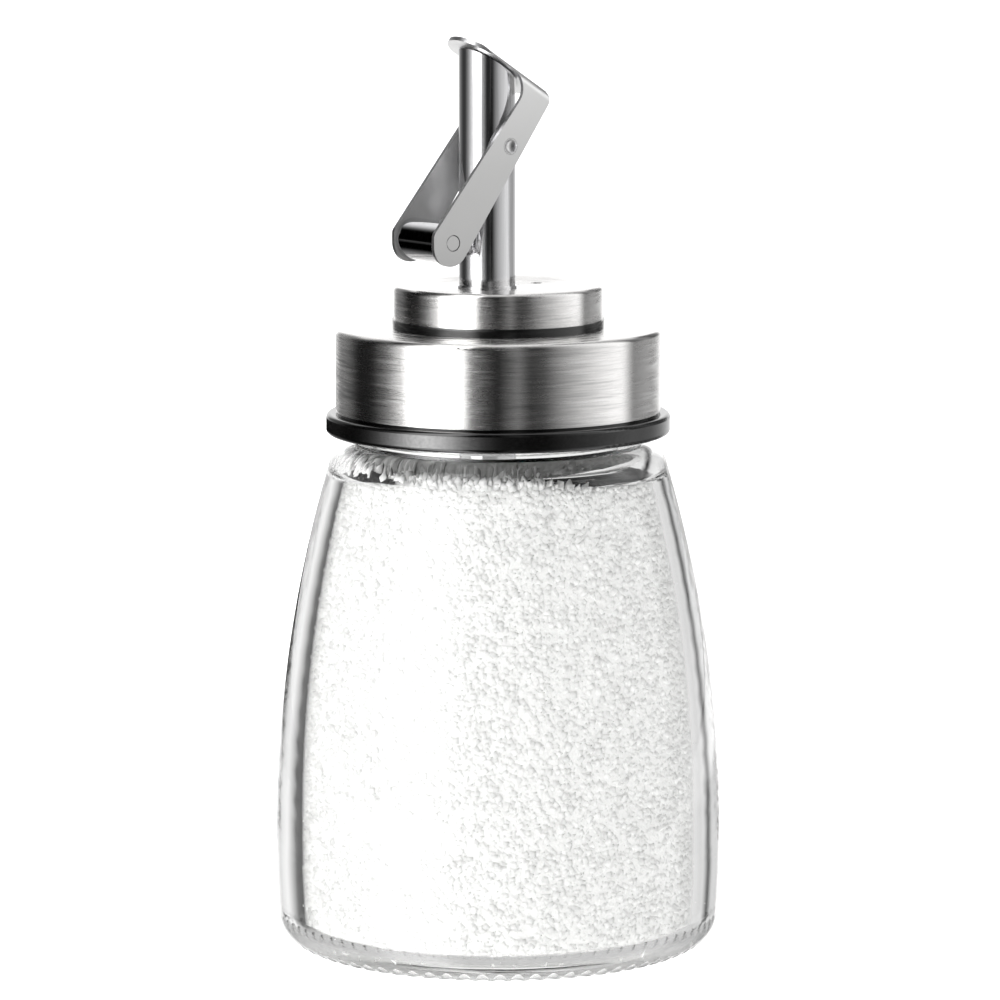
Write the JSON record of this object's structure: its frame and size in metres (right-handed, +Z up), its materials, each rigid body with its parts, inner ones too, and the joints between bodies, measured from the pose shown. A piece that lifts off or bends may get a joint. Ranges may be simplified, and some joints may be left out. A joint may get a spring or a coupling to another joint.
{
  "type": "sugar dispenser",
  "caption": "Round glass sugar dispenser with a screwed steel cap, a pour tube and a counterweighted flap over its slanted mouth.",
  "frame": {"origin": "centre of the jar's base, on the surface it stands on", "axes": "+Z up along the jar's axis; sugar leaves over the -X side, where the slanted mouth is highest; the flap turns about an axis along Y"},
  "size_m": [0.0797, 0.0796, 0.162],
  "materials": {
    "jar_glass": "clear",
    "black_plastic": "satin",
    "brushed_steel": "brushed round the axis",
    "polished_steel": "polished",
    "satin_steel": "satin",
    "seal_rubber": "matte"
  },
  "bodies": {
    "jar": {"glass_jar": "jar_glass"},
    "seal": {"jar_seal": "seal_rubber"},
    "head": {"cap_insert": "black_plastic", "cap_shell": "brushed_steel", "collar_insert": "black_plastic", "collar_shell": "brushed_steel", "lock_nut": "black_plastic", "tube_seal": "seal_rubber", "pour_tube": "polished_steel"},
    "flap": {"flap": "satin_steel", "pivot_rivet_far": "satin_steel", "pivot_rivet_near": "satin_steel", "counterweight": "polished_steel", "counterweight_pin": "satin_steel"}
  },
  "joints": [
    {"name": "head_rise", "type": "slide", "parent": "jar", "child": "seal", "axis": [0, 0, 1], "range_m": [0, 0.006]},
    {"name": "head_turn", "type": "hinge", "parent": "seal", "child": "head", "pos_m": [0, 0, 0.106], "axis": [0, 0, 1], "range_deg": [0, 540]},
    {"name": "flap_swing", "type": "hinge", "parent": "head", "child": "flap", "pos_m": [-0.00195, 0, 0.14285], "axis": [0, 1, 0], "range_deg": [0, 100]}
  ],
  "couplings": [
    {"joint": "head_rise", "follows": "head_turn", "m_per_rad": 0.00063662}
  ]
}
